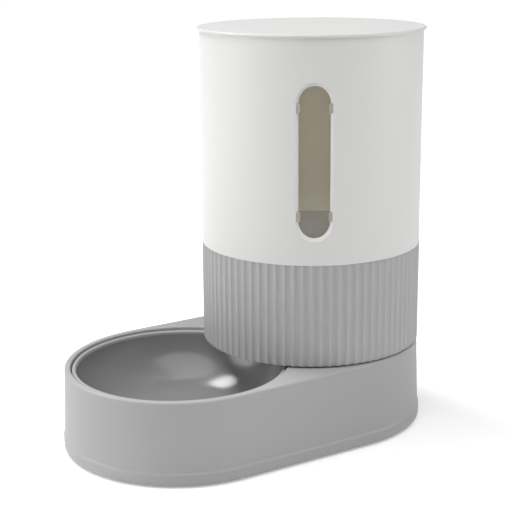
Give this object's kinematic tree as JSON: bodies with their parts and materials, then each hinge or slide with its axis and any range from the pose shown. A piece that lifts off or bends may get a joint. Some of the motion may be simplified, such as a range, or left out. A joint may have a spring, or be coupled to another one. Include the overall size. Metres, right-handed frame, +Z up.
{
  "type": "pet food dispenser",
  "caption": "Gravity pet food dispenser: a round windowed hopper with a fluted collar stands on a stadium-shaped base that holds a round lift-out bowl.",
  "frame": {"origin": "centre of the footprint at floor level, under the base", "axes": "+Z up, -Y from the hopper towards the bowl end, +X to the right when facing the bowl end from the hopper's back"},
  "size_m": [0.1924, 0.3125, 0.3267],
  "materials": {
    "grey_plastic": "fine satin moulding texture",
    "bowl_plastic": "satin gloss inside",
    "white_plastic": "fine satin moulding texture",
    "clear_plastic": "polished, faintly tinted",
    "seal_silicone": "soft matt",
    "foot_rubber": "soft matt",
    "screw_steel": "zinc plated"
  },
  "bodies": {
    "base_unit": {"base_housing": "grey_plastic", "bottom_cover": "grey_plastic", "foot_front_left": "foot_rubber", "foot_front_right": "foot_rubber", "foot_rear_left": "foot_rubber", "foot_rear_right": "foot_rubber", "cover_screws": "screw_steel", "collar_screws": "screw_steel", "bowl": "bowl_plastic", "ribbed_collar": "grey_plastic", "funnel": "grey_plastic"},
    "hopper_unit": {"hopper_shell": "white_plastic", "window_pane": "clear_plastic"},
    "lid_unit": {"lid": "white_plastic", "lid_seal": "seal_silicone"}
  },
  "joints": [
    {"name": "hopper_twist", "type": "hinge", "parent": "base_unit", "child": "hopper_unit", "pos_m": [0, 0.0645, 0.1512], "axis": [0, 0, 1], "range_deg": [0, 22]},
    {"name": "lid_lift", "type": "slide", "parent": "hopper_unit", "child": "lid_unit", "axis": [0, 0, 1], "range_m": [0, 0.06]}
  ]
}
